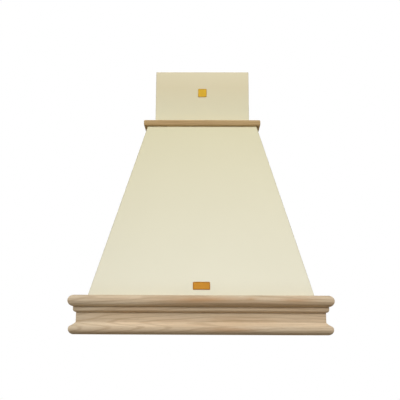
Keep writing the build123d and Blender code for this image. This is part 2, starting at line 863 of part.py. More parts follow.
def fan_wheel():
    """Twin-inlet wheel: a centre disc, forward-curved blades on both sides and two end rings."""
    root = wheel_radius - blade_depth
    half = wheel_width / 2
    tip = blade_depth - blade_margin

    def at(radius, degrees):
        return (radius * cos(radians(degrees)), radius * sin(radians(degrees)))

    thick = blade_thickness / root * 180 / pi
    steps = [i / blade_facets for i in range(blade_facets + 1)]
    front = [at(root + step * tip, blade_lead * step**2) for step in steps]
    rear = [at(root + step * tip, blade_lead * step**2 - thick) for step in steps]
    blade = make_face(Polyline(*front, *reversed(rear), close=True))
    blades = [
        along_fan(Rot(0, 0, i * 360 / blade_count) * blade, -half, half) for i in range(blade_count)
    ]
    wheel = fan_ring(root + blade_grip, shaft_radius + shaft_fit, -wheel_disc / 2, wheel_disc / 2)
    wheel += fan_ring(wheel_hub_radius, shaft_radius + shaft_fit, -wheel_disc, wheel_hub_length)
    for side in (-1, 1):
        start, end = sorted((side * (half - wheel_ring), side * half))
        wheel += fan_ring(wheel_radius, wheel_radius - blade_depth / 2, start, end)
    return wheel + blades


motor_near = wheel_hub_length + motor_gap
motor_far = scroll_side


def motor():
    """Motor in the wheel's right eye, with a bearing boss at each end."""
    body = fan_ring(motor_radius, shaft_radius + shaft_clearance, motor_near, motor_far)
    ends = body.edges().filter_by(GeomType.CIRCLE).filter_by(lambda e: e.radius > motor_radius / 2)
    body = chamfer(ends, motor_bevel)
    waist = (motor_near + motor_waist_inset, motor_far - motor_waist_inset)
    return body - fan_ring(motor_radius + past, motor_radius - motor_waist_depth, *waist)


def motor_shaft():
    return along_fan(Circle(shaft_radius), -2 * wheel_disc, motor_far - shaft_inset)


def motor_bracket():
    """Spider over the right inlet: an outer ring, arms and a plate behind the motor."""
    ring_inner = inlet_radius + inlet_bell
    ring_outer = inlet_radius + inlet_boss
    start, end = scroll_side, scroll_side + lip_thickness
    spider = Circle(ring_outer) - Circle(ring_inner)
    spider += Circle(spider_radius)
    for i in range(arm_count):
        arm = Pos((ring_inner + past) / 2, 0) * Rectangle(ring_inner + past, arm_width)
        spider += Rot(0, 0, 90 + i * 360 / arm_count) * arm
    return along_fan(spider, start, end)


def inlet_guard():
    """Finger guard over the left inlet: rings on crossed bars."""
    inner = inlet_radius + inlet_bell
    guard = Circle(inlet_radius + inlet_boss) - Circle(inner)
    pitch = inner / (guard_rings + 1)
    for i in range(1, guard_rings + 1):
        guard += Circle(i * pitch + guard_bar / 2) - Circle(i * pitch - guard_bar / 2)
    for turn in (45, 135):
        guard += Rot(0, 0, turn) * Rectangle(2 * (inner + past), guard_bar)
    return along_fan(guard, -scroll_side - lip_thickness, -scroll_side)


# ---------------------------------------------------------------- outlet collar and flaps

collar_inner = collar_radius - collar_wall
pin_height = flange_under + flap_height


def outlet_collar():
    """Round spigot for the duct, with a ledge that the flaps close on."""

    def disc(radius, low, high):
        return rod((0, duct_y, low), (0, duct_y, high), radius)

    collar = disc(collar_radius + collar_flange, flange_under, flange_under + collar_flange_thickness)
    collar += disc(collar_radius, flange_under, flange_under + collar_height)
    collar -= disc(collar_inner, flange_under - past, flange_under + collar_height + past)
    ledge_top = pin_height - flap_thickness / 2
    ledge = disc(collar_inner, flange_under, ledge_top) - disc(collar_inner - flap_ledge, 0, everywhere)
    slot = knuckle_radius + knuckle_room
    ledge -= block(both_sides(slot), (-everywhere, 0), (pin_height - slot, everywhere))
    collar += ledge
    reach = collar_inner + collar_wall / 2
    collar -= rod((0, duct_y - reach, pin_height), (0, duct_y + reach, pin_height), pin_radius)
    return collar - screw_holes(collar_screw_seats(flange_under), (0, 0, 1), collar_flange_thickness)


def flap_pin():
    reach = collar_inner + collar_wall / 2
    return rod((0, duct_y - reach, pin_height), (0, duct_y + reach, pin_height), pin_radius)


def flap(side):
    """Half-round backdraught flap with knuckles on the shared pin."""
    radius = collar_inner - flap_clearance
    low, high = pin_height - flap_thickness / 2, pin_height + flap_thickness / 2
    plate = rod((0, duct_y, low), (0, duct_y, high), radius)
    edge = sorted((side * flap_setback, side * everywhere))
    plate &= block(edge, (-everywhere, everywhere), (low, high))
    span = 2 * (radius - flap_end_gap)
    pitch = span / knuckle_count
    first = 0 if side < 0 else 1
    for i in range(first, knuckle_count, 2):
        start = duct_y - span / 2 + i * pitch + knuckle_gap / 2
        end = start + pitch - knuckle_gap
        web = sorted((0, side * (flap_setback + past)))
        plate += block(web, (start, end), (low, high))
        plate += rod((0, start, pin_height), (0, end, pin_height), knuckle_radius)
    bore = pin_radius + pin_clearance
    return plate - rod((0, duct_y - radius, pin_height), (0, duct_y + radius, pin_height), bore)


# ---------------------------------------------------------------- electrics and fixings

def terminal_box():
    """Open-fronted box on the back panel for the mains terminals."""
    x = (-terminal_offset, -terminal_offset + terminal_width)
    z = (terminal_floor, terminal_floor + terminal_height)
    wall = terminal_wall
    box = block(x, (-sheet - terminal_depth, -sheet), z)
    return box - block(
        (x[0] + wall, x[1] - wall),
        (-sheet - terminal_depth - past, -sheet - wall),
        (z[0] + wall, z[1] - wall),
    )


def terminal_lid():
    x = (-terminal_offset, -terminal_offset + terminal_width)
    front = -sheet - terminal_depth
    lid = block(x, (front - terminal_wall, front), (terminal_floor, terminal_floor + terminal_height))
    return fillet(lid.edges().filter_by(Axis.Y), lid_corner)


def capacitor():
    """Motor capacitor, a round can strapped to the back panel beside the terminal box."""
    x = terminal_offset - capacitor_radius
    y = -sheet - capacitor_radius
    can = rod((x, y, terminal_floor), (x, y, terminal_floor + capacitor_length), capacitor_radius)
    middle = terminal_floor + capacitor_length / 2
    strap = block(
        (x - capacitor_radius, x + capacitor_radius),
        (y, -sheet),
        (middle - strap_width / 2, middle + strap_width / 2),
    )
    return can + strap


def cable_gland():
    """Rubber gland in the top plate, inside the chimney."""
    x, y = gland_offset, -gland_setback
    groove = rod((x, y, plate_under), (x, y, flange_under), gland_radius)
    lower = rod((x, y, plate_under - gland_under), (x, y, plate_under), gland_radius + gland_lip)
    upper = rod((x, y, flange_under), (x, y, flange_under + gland_over), gland_radius + gland_lip)
    upper = chamfer(upper.edges().group_by(Axis.Z)[-1], gland_bevel)
    return groove + lower + upper - rod((x, y, 0), (x, y, everywhere), gland_radius / 2)


def collar_screws():
    """Screws that clamp adapter, top plate and collar together."""
    low = plate_under - flange_thickness
    length = flange_thickness + sheet + collar_flange_thickness + past
    return [screw(seat, (0, 0, 1), length) for seat in collar_screw_seats(low)]


def screws_at(seats):
    return [screw(seat, direction, wood_screw_length) for seat, direction in seats]


def save(name, shape):
    """Write one sub-part, whose solids may be several identical fixings."""
    solids = shape if isinstance(shape, list) else [shape]
    bodies = [solid for item in solids for solid in item.solids()]
    part = bodies[0] if len(bodies) == 1 else Compound(children=bodies)
    export_step(part, f"parts/{name}.step")
    print(f"{name}: {len(bodies)} solid(s)")


def main():
    front, left, right = canopy_panels()
    seats = bead_screw_seats + rim_screw_seats
    rail_holes = screw_holes(rail_screw_seats(), (0, 0, 1), rail_thickness)
    for name, panel in (("canopy_front", front), ("canopy_left", left), ("canopy_right", right)):
        save(name, panel - seat_holes(seats) - rail_holes)
    save("back_panel", back_panel())
    save("top_plate", top_plate())
    save("chimney_cover", chimney_cover())
    save("chimney_bracket", chimney_bracket())
    save("chimney_screws", chimney_screws())
    for where, board in zip(("front", "left", "right"), base_mouldings()):
        save(f"base_moulding_{where}", board)
    for where, board in zip(("front", "left", "right"), top_rails()):
        save(f"top_rail_{where}", board)
    save(
        "mitre_splines",
        mitre_splines(skirt_half, skirt_front, base_spline_middle, base_spline_height)
        + mitre_splines(rail_inner_half, rail_inner_front, rail_spline_middle, rail_spline_height),
    )
    save("moulding_screws", screws_at(bead_screw_seats))
    save("rim_screws", screws_at(rim_screw_seats))
    save("rail_screws", [screw(seat, (0, 0, 1), rail_screw_length) for seat in rail_screw_seats()])
    save("recess_rim", recess_rim())
    save("bottom_panel", bottom_panel())
    save("filter_guides", filter_guides())
    for side, hand in ((-1, "left"), (1, "right")):
        save(f"filter_frame_{hand}", filter_frame(side))
        save(f"filter_mesh_{hand}", filter_mesh(side))
        save(f"filter_latch_{hand}", filter_latch(side))
        bezel, lens, case = lamp_parts(side)
        save(f"lamp_bezel_{hand}", bezel)
        save(f"lamp_lens_{hand}", lens)
        save(f"lamp_case_{hand}", case)
        save(f"scroll_{hand}", scroll_half(side))
        save(f"backdraught_flap_{hand}", flap(side))
    save("control_plate", control_plate())
    button_names = ("button_off", "button_low", "button_medium", "button_high", "button_lamp")
    for name, x in zip(button_names, button_row):
        save(name, push_button(x))
    save("switch_unit", switch_unit())
    save("outlet_adapter", outlet_adapter())
    save("fan_wheel", fan_wheel())
    save("motor", motor())
    save("motor_shaft", motor_shaft())
    save("motor_bracket", motor_bracket())
    save("inlet_guard", inlet_guard())
    save("outlet_collar", outlet_collar())
    save("flap_pin", flap_pin())
    save("collar_screws", collar_screws())
    save("terminal_box", terminal_box())
    save("terminal_lid", terminal_lid())
    save("capacitor", capacitor())
    save("cable_gland", cable_gland())


main()
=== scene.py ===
import json
import math
import bmesh
import bpy
import numpy as np
from mathutils import Matrix

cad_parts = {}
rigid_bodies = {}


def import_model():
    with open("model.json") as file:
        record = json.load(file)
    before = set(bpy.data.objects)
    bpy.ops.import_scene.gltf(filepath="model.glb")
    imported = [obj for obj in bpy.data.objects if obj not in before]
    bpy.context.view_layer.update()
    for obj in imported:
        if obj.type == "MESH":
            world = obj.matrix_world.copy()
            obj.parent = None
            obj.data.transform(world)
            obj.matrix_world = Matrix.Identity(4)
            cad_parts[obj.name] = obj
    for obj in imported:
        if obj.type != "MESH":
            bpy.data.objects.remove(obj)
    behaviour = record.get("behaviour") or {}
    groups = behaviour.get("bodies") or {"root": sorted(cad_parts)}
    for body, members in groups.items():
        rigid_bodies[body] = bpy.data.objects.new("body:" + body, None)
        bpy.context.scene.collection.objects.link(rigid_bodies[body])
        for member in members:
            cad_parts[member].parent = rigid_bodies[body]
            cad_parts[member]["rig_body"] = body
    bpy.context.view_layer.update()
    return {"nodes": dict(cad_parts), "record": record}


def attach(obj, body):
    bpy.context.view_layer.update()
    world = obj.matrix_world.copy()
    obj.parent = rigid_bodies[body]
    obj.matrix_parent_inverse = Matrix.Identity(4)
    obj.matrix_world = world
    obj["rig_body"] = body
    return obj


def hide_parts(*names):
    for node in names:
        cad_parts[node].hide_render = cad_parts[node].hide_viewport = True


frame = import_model()
nodes = frame["nodes"]
record = frame["record"]
scene = bpy.context.scene
mm = 0.001
print("frame loaded:", len(nodes), "nodes")


# finishes
def linear(red, green, blue):  # a colour picker's 0 to 255 numbers as scene-linear values
    share = np.array([red, green, blue]) / 255.0
    low, high = share / 12.92, ((share + 0.055) / 1.055) ** 2.4
    return tuple(float(v) for v in np.where(share <= 0.04045, low, high)) + (1.0,)


def addNode(tree, kind, links=None, **settings):
    made = tree.nodes.new("ShaderNode" + kind)
    for name, value in settings.items():
        setattr(made, name, value)
    for socket, source in (links or {}).items():
        if isinstance(source, bpy.types.NodeSocket):
            tree.links.new(source, made.inputs[socket])
        else:
            made.inputs[socket].default_value = source
    return made


def startFinish(name, **sockets):
    made = bpy.data.materials.new(name)
    made.use_nodes = True
    tree = made.node_tree
    shader = tree.nodes["Principled BSDF"]
    for socket, value in sockets.items():
        shader.inputs[socket.replace("_", " ")].default_value = value
    place = addNode(tree, "TexCoord").outputs["Object"]
    return made, tree, shader, place


def mapped(tree, place, scale=(1, 1, 1), turn=(0, 0, 0), shift=(0, 0, 0)):
    turn = [math.radians(angle) for angle in turn]
    links = {"Vector": place, "Scale": scale, "Rotation": turn, "Location": shift}
    return addNode(tree, "Mapping", links).outputs[0]


def noise(tree, place, scale, detail=3.0, roughness=0.55, distortion=0.0):
    links = {"Vector": place, "Scale": scale, "Detail": detail, "Roughness": roughness,
             "Distortion": distortion}
    return addNode(tree, "TexNoise", links).outputs["Fac"]


def spread(tree, value, low, high, fromLow=0.3, fromHigh=0.7):  # a value stretched to a new range
    links = {"Value": value, "From Min": fromLow, "From Max": fromHigh, "To Min": low, "To Max": high}
    return addNode(tree, "MapRange", links).outputs["Result"]


def mixColours(tree, share, first, second):
    return addNode(tree, "Mix", {0: share, 6: first, 7: second}, data_type="RGBA").outputs[2]


def addBump(tree, shader, height, distance, strength=1.0):
    links = {"Height": height, "Distance": distance, "Strength": strength}
    tree.links.new(addNode(tree, "Bump", links).outputs[0], shader.inputs["Normal"])


def plainFinish(name, colour, shade, roughness, metallic=0.0, spots=9.0, grain=900.0, depth=0.00004,
                stretch=(1, 1, 1)):
    # colour drifts to shade in soft spots; fine grain drives both roughness and bump
    made, tree, shader, place = startFinish(name, Metallic=metallic)
    soft = noise(tree, place, spots, 4.0)
    tone = mixColours(tree, spread(tree, soft, 0.0, 1.0), linear(*colour), linear(*shade))
    fine = noise(tree, mapped(tree, place, stretch), grain, 2.0)
    tree.links.new(tone, shader.inputs["Base Color"])
    tree.links.new(spread(tree, fine, *roughness), shader.inputs["Roughness"])
    addBump(tree, shader, fine, depth)
    return made


cream = {
    "low": (235, 231, 208), "high": (219, 212, 175), "from": 0.08, "to": 0.56,  # painted sheen and light: whiter low, yellower with height (m)
    "shade": (196, 186, 150), "drift": 0.05, "clouds": 5.0, "peel": 1300.0, "peelDepth": 0.000035,
    "roughness": (0.36, 0.50), "sheen": 0.45,
}
# painted light: the chimney's paint runs whiter towards its foot, just over the rail, where the rail shades
# it
chimneyCreamWithPaintedLight = {**cream, "low": (241, 238, 207), "high": (225, 214, 177), "from": 0.58, "to": 0.68}


def creamFinish(name, c):  # stove paint: painted sheen and light by height, whiter low and yellower high, soft clouds, fine orange peel on top
    made, tree, shader, place = startFinish(name, Specular_IOR_Level=c["sheen"])
    # painted sheen and light: the tone runs from the whiter low colour to the yellower high one
    height = addNode(tree, "SeparateXYZ", {"Vector": place}).outputs["Z"]
    rise = spread(tree, height, 0.0, 1.0, c["from"], c["to"])
    tone = mixColours(tree, rise, linear(*c["low"]), linear(*c["high"]))
    clouds = noise(tree, place, c["clouds"], 4.0)
    tone = mixColours(tree, spread(tree, clouds, 0.0, c["drift"]), tone, linear(*c["shade"]))
    peel = noise(tree, place, c["peel"], 2.0)
    tree.links.new(tone, shader.inputs["Base Color"])
    tree.links.new(spread(tree, peel, *c["roughness"]), shader.inputs["Roughness"])
    addBump(tree, shader, peel, c["peelDepth"])
    return made


zinc = {
    "pale": (196, 200, 202), "dark": (174, 179, 182), "dull": (150, 152, 150), "clouds": 7.0, "drift": 0.35,
    "crystals": 170.0, "stretch": (1.0, 0.6, 1.3), "turn": (20, 35, 10), "depth": 0.00003,
    "roughness": (0.34, 0.46),
}


def zincFinish(name, z):  # zinc coating: crystals a few millimetres across, each of its own grey
    made, tree, shader, place = startFinish(name, Metallic=1.0)
    bent = mapped(tree, place, z["stretch"], z["turn"])
    cells = addNode(tree, "TexVoronoi", {"Vector": bent, "Scale": z["crystals"], "Randomness": 1.0})
    grey = addNode(tree, "SeparateColor", {"Color": cells.outputs["Color"]}).outputs[0]
    tone = mixColours(tree, grey, linear(*z["pale"]), linear(*z["dark"]))
    clouds = noise(tree, place, z["clouds"], 4.0)
    tone = mixColours(tree, spread(tree, clouds, 0.0, z["drift"]), tone, linear(*z["dull"]))
    tree.links.new(tone, shader.inputs["Base Color"])
    tree.links.new(spread(tree, grey, *z["roughness"], 0.0, 1.0), shader.inputs["Roughness"])
    addBump(tree, shader, cells.outputs["Distance"], z["depth"])
    return made


beech = {
    "pale": (224, 203, 173), "warm": (213, 187, 153), "grey": (216, 198, 170), "red": (196, 154, 111),
    # light: a lighter tone that paints extra light on the front board's left
    "light": (240, 222, 194), "line": (160, 129, 92), "ringScale": 48.0,  # growth rings about 6.5 mm apart
    "tilt": (0, 3.0, -4.5), "heart": (0.05, 0.38, 0.055),  # trunk's middle, behind and under the board
    "roughness": (0.60, 0.76), "sheen": 0.35, "grainDepth": 0.00008, "grainStrength": 0.6,
}
frontBeech = {**beech, "tilt": (0, -6.0, 9.0)}  # sawn across the rings, so that they slant over the board
# the rail's beech: its own darker tone, with a yellower cast that is painted light, as the cool light that
# whitens the lower parts reaches the rail less
railBeech = {**beech, "pale": (200, 169, 120), "warm": (189, 158, 110), "grey": (196, 166, 117),
             "red": (184, 144, 94), "line": (154, 121, 76)}
grain = {  # noises drawn out along the board: stretch, scale, detail, roughness, distortion
    "broad": ((0.16, 1, 1), 34.0, 3.0, 0.55, 0.0),
    "cool": ((0.30, 1, 1), 11.0, 1.0, 0.55, 0.0),
    "streak": ((0.14, 1, 1.4), 30.0, 2.0, 0.5, 0.6),
    "thin": ((0.03, 1, 1), 270.0, 4.0, 0.65, 0.0),
    "fleck": ((0.05, 1, 1), 1150.0, 2.0, 0.6, 0.0),
}
coolShift = (0.31, 0.2, 0.1)
ringLook = {"Distortion": 3.4, "Detail": 3.0, "Detail Scale": 0.8, "Detail Roughness": 0.55}
ringStretch = (0.08, 1, 1)
# pattern, tone it brings, its strongest share, and the pattern's values where it starts and where it is full
stains = [
    ("broad", "warm", 1.0, 0.3, 0.7),
    ("cool", "grey", 0.9, 0.42, 0.62),
    ("streak", "red", 0.30, 0.54, 0.76),
]
lines = [
    ("rings", "line", 0.32, 0.70, 1.0),
    ("thin", "line", 0.34, 0.50, 0.68),
    ("fleck", "line", 0.26, 0.56, 0.74),
]
lensLook = {"y": -450, "depth": 500, "torn": (0.7, 1.5), "full": 0.7}
# lens-shaped stains of the front board, and two light lenses that paint extra light on its left, over the
# bead's lower half and the slope: tone, middle x and z, half length and half height in mm, strength
frontFlamesAndPaintedLight = [("red", 5, 77, 170, 14, 0.9), ("red", 112, 79, 26, 8, 0.6), ("red", 212, 76, 80, 10, 0.6),
               ("red", 60, 12, 90, 8, 0.4), ("red", 130, 70, 110, 8, 0.4), ("grey", -300, 44, 190, 90, 0.9),
               ("light", -190, 67, 180, 10, 1.0), ("light", -150, 22, 170, 8, 0.5)]


def addRings(tree, along, b, heart):  # growth rings about the trunk's tilted axis
    drawn = mapped(tree, mapped(tree, along, turn=b["tilt"], shift=heart), ringStretch)
    links = {"Vector": drawn, "Scale": b["ringScale"], **ringLook}
    made = addNode(tree, "TexWave", links, wave_type="RINGS", rings_direction="X", wave_profile="SIN")
    return made.outputs["Fac"]


def addLensTone(tree, along, streak, tone, b, lensTone):  # a lens-shaped gradient, its edge torn by the streaks
    shade, x, z, length, height, strength = lensTone
    middle, half = np.array([x, lensLook["y"], z]), np.array([length, lensLook["depth"], height])
    placed = mapped(tree, along, 1000 / half, shift=-middle / half)
    lens = addNode(tree, "TexGradient", {"Vector": placed}, gradient_type="QUADRATIC_SPHERE").outputs["Fac"]
    rough = spread(tree, streak, *lensLook["torn"])
    torn = addNode(tree, "Math", {0: lens, 1: rough}, operation="MULTIPLY").outputs[0]
    share = spread(tree, torn, 0.0, strength, 0.0, lensLook["full"])
    return mixColours(tree, share, tone, linear(*b[shade]))


def beechFinish(name, b, turn, heart, flamesAndPaintedLight=()):  # turn brings the board's length to x
    made, tree, shader, place = startFinish(name, Specular_IOR_Level=b["sheen"])
    along = mapped(tree, place, turn=(0, 0, turn))
    patterns = {"rings": addRings(tree, along, b, heart)}
    for key, (stretch, *look) in grain.items():
        shift = coolShift if key == "cool" else (0, 0, 0)
        patterns[key] = noise(tree, mapped(tree, along, stretch, shift=shift), *look)
    tone = linear(*b["pale"])
    for key, shade, share, start, full in stains:
        tone = mixColours(tree, spread(tree, patterns[key], 0.0, share, start, full), tone, linear(*b[shade]))
    # flame stains, and lenses of painted light on the board's left
    for lensTone in flamesAndPaintedLight:
        tone = addLensTone(tree, along, patterns["streak"], tone, b, lensTone)
    for key, shade, share, start, full in lines:
        tone = mixColours(tree, spread(tree, patterns[key], 0.0, share, start, full), tone, linear(*b[shade]))
    tree.links.new(tone, shader.inputs["Base Color"])
    tree.links.new(spread(tree, patterns["fleck"], *b["roughness"]), shader.inputs["Roughness"])
    addBump(tree, shader, patterns["fleck"], b["grainDepth"], b["grainStrength"])
    return made


# slot: material, colour, shade it drifts to, roughness, and what differs from the plain finish's own settings
aluminium = {"metallic": 1.0, "spots": 14.0, "grain": 2600.0, "depth": 0.00002, "stretch": (1, 0.03, 1)}
plainLooks = {
    "zinc_screw": ("zincScrew", (206, 208, 210), (180, 184, 188), (0.20, 0.34),
                   {"metallic": 1.0, "spots": 300.0, "grain": 2500.0}),
    "filter_aluminium": ("brushedAluminium", (208, 210, 212), (190, 193, 196), (0.26, 0.42), aluminium),
    "filter_mesh": ("meshAluminium", (186, 189, 191), (150, 153, 156), (0.34, 0.55),
                    {"metallic": 1.0, "spots": 30.0, "grain": 1500.0, "depth": 0.0003}),
    "latch_plastic": ("latchPlastic", (36, 36, 37), (28, 28, 29), (0.42, 0.58), {"grain": 2400.0}),
    "lamp_chrome": ("lampChrome", (224, 225, 228), (212, 214, 218), (0.06, 0.14),
                    {"metallic": 1.0, "spots": 40.0, "grain": 700.0, "depth": 0.000004}),
    "control_plastic": ("controlPlastic", (222, 214, 188), (216, 208, 182), (0.40, 0.54), {"grain": 2000.0}),
    "button_plastic": ("buttonPlastic", (44, 43, 42), (36, 35, 34), (0.24, 0.36),
                       {"grain": 2600.0, "depth": 0.00002}),
    "fan_plastic": ("fanPlastic", (214, 215, 211), (203, 204, 200), (0.42, 0.56), {"grain": 1500.0}),
    "wheel_plastic": ("wheelPlastic", (34, 35, 37), (26, 27, 29), (0.38, 0.52), {"grain": 1500.0}),
    "motor_steel": ("motorSteel", (78, 82, 88), (64, 67, 72), (0.34, 0.50),
                    {"metallic": 0.6, "spots": 20.0, "grain": 1100.0}),
    "shaft_steel": ("shaftSteel", (200, 201, 203), (182, 184, 187), (0.16, 0.28),
                    {"metallic": 1.0, "spots": 60.0, "grain": 3000.0}),
    "rubber_black": ("rubberBlack", (24, 24, 24), (33, 32, 31), (0.62, 0.80), {"grain": 1300.0}),
    "capacitor_case": ("capacitorCase", (226, 228, 228), (214, 217, 218), (0.26, 0.40), {"grain": 1400.0}),
}
lensGlass = {
    "tint": (240, 244, 243), "clearness": 0.85, "index": 1.48, "frost": 1800.0, "depth": 0.00006,
    "roughness": (0.34, 0.52),
}


def glassFinish(name, g):  # frosted cover glass: light passes, the pattern of the frosting roughens it
    made, tree, shader, place = startFinish(name, Transmission_Weight=g["clearness"], IOR=g["index"])
    shader.inputs["Base Color"].default_value = linear(*g["tint"])
    frost = noise(tree, place, g["frost"], 2.0)
    tree.links.new(spread(tree, frost, *g["roughness"]), shader.inputs["Roughness"])
    addBump(tree, shader, frost, g["depth"])
    return made


finishes = {slot: plainFinish(*look, **more) for slot, (*look, more) in plainLooks.items()}
finishes["cream_paint"] = creamFinish("creamPaint", cream)
finishes["galvanised_steel"] = zincFinish("galvanisedSteel", zinc)
finishes["bare_beech"] = beechFinish("frontBeech", frontBeech, 0.0, beech["heart"], frontFlamesAndPaintedLight)
finishes["lens_glass"] = glassFinish("lensGlass", lensGlass)
# the chimney's own copy of the cream paint, with painted light at its foot
chimneyPaint = creamFinish("chimneyPaint", chimneyCreamWithPaintedLight)
sideBeech = beechFinish("sideBeech", beech, 90.0, (0.02, 0.24, -0.05))
railFront = beechFinish("railFront", railBeech, 0.0, (0.4, 0.26, 0.02))
railSide = beechFinish("railSide", railBeech, 90.0, (0.3, 0.22, 0.03))
print("finishes:", len(finishes), "slots, with others for the side boards, the rail and the chimney")


# meshes
def addPiece(name, points, faces, finish, body, slot=None, replaced=(), sharp=38.0, inset=None):
    mesh = bpy.data.meshes.new(name)
    mesh.from_pydata(np.asarray(points, float).reshape(-1, 3) * mm, [], faces)
    working = bmesh.new()
    working.from_mesh(mesh)
    bmesh.ops.recalc_face_normals(working, faces=working.faces)
    working.to_mesh(mesh)
    working.free()
    mesh.polygons.foreach_set("use_smooth", np.ones(len(mesh.polygons), bool))
    mesh.set_sharp_from_angle(angle=math.radians(sharp))
    if inset is not None:
        values = np.ravel(inset).astype(np.float32)
        mesh.attributes.new("inset", "FLOAT", "POINT").data.foreach_set("value", values)
    mesh.materials.append(finish)
    made = bpy.data.objects.new(name, mesh)
    scene.collection.objects.link(made)
    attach(made, body)
    if replaced:
        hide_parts(*replaced)
    return made


def ringFaces(stations, count, joined=False):  # quads between one closed ring of points and the next
    step, turn = np.meshgrid(np.arange(stations - (0 if joined else 1)), np.arange(count), indexing="ij")
    after, beside = (step + 1) % stations, (turn + 1) % count
    quads = [step * count + turn, step * count + beside, after * count + beside, after * count + turn]
    faces = np.stack(quads, -1).reshape(-1, 4).tolist()
    if not joined:
        faces += [list(range(count))[::-1], list(range((stations - 1) * count, stations * count))]
    return faces


def ringPiece(name, rings, finish, body, slot=None, replaced=(), joined=False, **more):
    faces = ringFaces(*rings.shape[:2], joined)
    return addPiece(name, rings, faces, finish, body, slot, replaced, **more)


def gathered(shapes, joined=False):  # several rings of one size as the points and faces of a single mesh
    stations, count = shapes[0].shape[:2]
    faces = ringFaces(stations, count, joined)
    every = [[corner + i * stations * count for corner in face] for i in range(len(shapes)) for face in faces]
    return np.concatenate([shape.reshape(-1, 3) for shape in shapes]), every


def arc(centre, radius, start, end, count):
    turn = np.radians(np.linspace(start, end, count))
    return np.stack([centre[0] + radius * np.cos(turn), centre[1] + radius * np.sin(turn)], -1)


def eased(outline, amount, steps=4, least=28.0, most=0.45):
    # a closed outline's corners that bend by at least so many degrees become short parabolas, between points
    # set back along both sides, by at most this share of the shorter one
    before, after = np.roll(outline, 1, 0) - outline, np.roll(outline, -1, 0) - outline
    lengthBefore = np.linalg.norm(before, axis=1, keepdims=True)
    lengthAfter = np.linalg.norm(after, axis=1, keepdims=True)
    bend = (before * after).sum(1, keepdims=True) / (lengthBefore * lengthAfter)
    back = np.minimum(amount, most * np.minimum(lengthBefore, lengthAfter))
    size = np.where(bend > -math.cos(math.radians(least)), back, 0)
    start = (outline + before / lengthBefore * size)[:, None]
    end = (outline + after / lengthAfter * size)[:, None]
    t = np.linspace(0, 1, steps)[None, :, None]
    curve = ((1 - t) ** 2 * start + 2 * t * (1 - t) * outline[:, None] + t**2 * end).reshape(-1, 2)
    return curve[np.linalg.norm(curve - np.roll(curve, 1, 0), axis=1) > 1e-6]


# timber mouldings
moulding = {
    "height": 88.0, "thick": 38.0, "bead": 13.0, "shoulder": 27.0, "fascia": 20.7, "foot": 27.5, "head": 49.6,
    "nose": 11.5, "noseBack": 3.1, "noseTop": 18.5, "hollow": 0.8, "arris": 0.6,
    "half": 262.0, "front": 452.0, "low": 0.0, "mitreGap": 0.12,
    "noseSteps": 22, "hollowSteps": 9, "ovoloSteps": 12, "beadSteps": 36,  # points along each curve
}
rail = {
    "thick": 18.0, "wide": 28.7, "edge": 5.0, "arris": 0.6, "half": 130.3, "front": 240.3, "low": 558.0,
    "mitreGap": 0.10, "edgeSteps": 12,
}
boardSteps = {"front": 25, "side": 19}  # rings of points along a board


def mouldingOutline(m):  # x runs out from the skirt, y up: nose, hollow, fascia, ovolo, quirk and bead
    noseX = m["thick"] - m["noseBack"] - m["nose"]
    noseEnd = math.degrees(math.asin((m["noseTop"] - m["nose"]) / m["nose"]))
    nose = arc((noseX, m["nose"]), m["nose"], -90, noseEnd, m["noseSteps"])
    t = np.linspace(0, 1, m["hollowSteps"])[1:-1, None]
    hollowEnd = np.array([m["fascia"], m["foot"]])
    across = hollowEnd - nose[-1]
    inward = np.array([-across[1], across[0]]) / np.linalg.norm(across)
    hollow = nose[-1] + t * across + inward * (4 * t * (1 - t) * m["hollow"])
    ovolo = m["shoulder"] - m["fascia"]
    quarter = arc((m["fascia"], m["head"] + ovolo), ovolo, -90, 0, m["ovoloSteps"])
    beadX, beadY = m["thick"] - m["bead"], m["height"] - m["bead"]
    quirk = [[m["shoulder"], beadY - m["bead"]]]
    bead = arc((beadX, beadY), m["bead"], -90, 90, m["beadSteps"])
    parts = [[[0, 0]], nose, hollow, [hollowEnd], quarter, quirk, bead, [[0, m["height"]]]]
    return eased(np.concatenate([np.asarray(part, float) for part in parts]), m["arris"])


def railOutline(r):  # a board with two rounded outer edges
    wide, thick, edge = r["wide"], r["thick"], r["edge"]
    lower = arc((wide - edge, edge), edge, -90, 0, r["edgeSteps"])
    upper = arc((wide - edge, thick - edge), edge, 0, 90, r["edgeSteps"])
    return eased(np.concatenate([[[0, 0]], lower, upper, [[0, thick]]]), r["arris"])


def mitredBoards(outline, sizes, names, replaced, woods):
    # front: every point of the outline runs across to its own mirror image, so the ends lie on the mitres;
    # sides: every point runs from the wall to the same mitre plane
    out, up = outline.T
    wide, deep, high = sizes["half"] + out, sizes["front"] + out, sizes["low"] + up
    share = np.linspace(-1, 1, boardSteps["front"])[:, None]
    rings = [np.stack([share * (wide - sizes["mitreGap"]), -deep + 0 * share, high + 0 * share], -1)]
    share = np.linspace(0, 1, boardSteps["side"])[:, None]
    for side in (-1, 1):
        run = [side * wide + 0 * share, -share * (deep - sizes["mitreGap"]), high + 0 * share]
        rings.append(np.stack(run, -1))
    for name, shape, node, finish in zip(names, rings, replaced, woods):
        ringPiece(name, shape, finish, "hood", "bare_beech", [node], sharp=30.0)


hands = ("front", "left", "right")
mitredBoards(mouldingOutline(moulding), moulding, [f"baseMoulding-{hand}" for hand in hands],
             [f"base_moulding_{hand}" for hand in hands], (finishes["bare_beech"], sideBeech, sideBeech))
mitredBoards(railOutline(rail), rail, [f"topRail-{hand}" for hand in hands],
             [f"top_rail_{hand}" for hand in hands], (railFront, railSide, railSide))
print("timber trim: 6 boards")


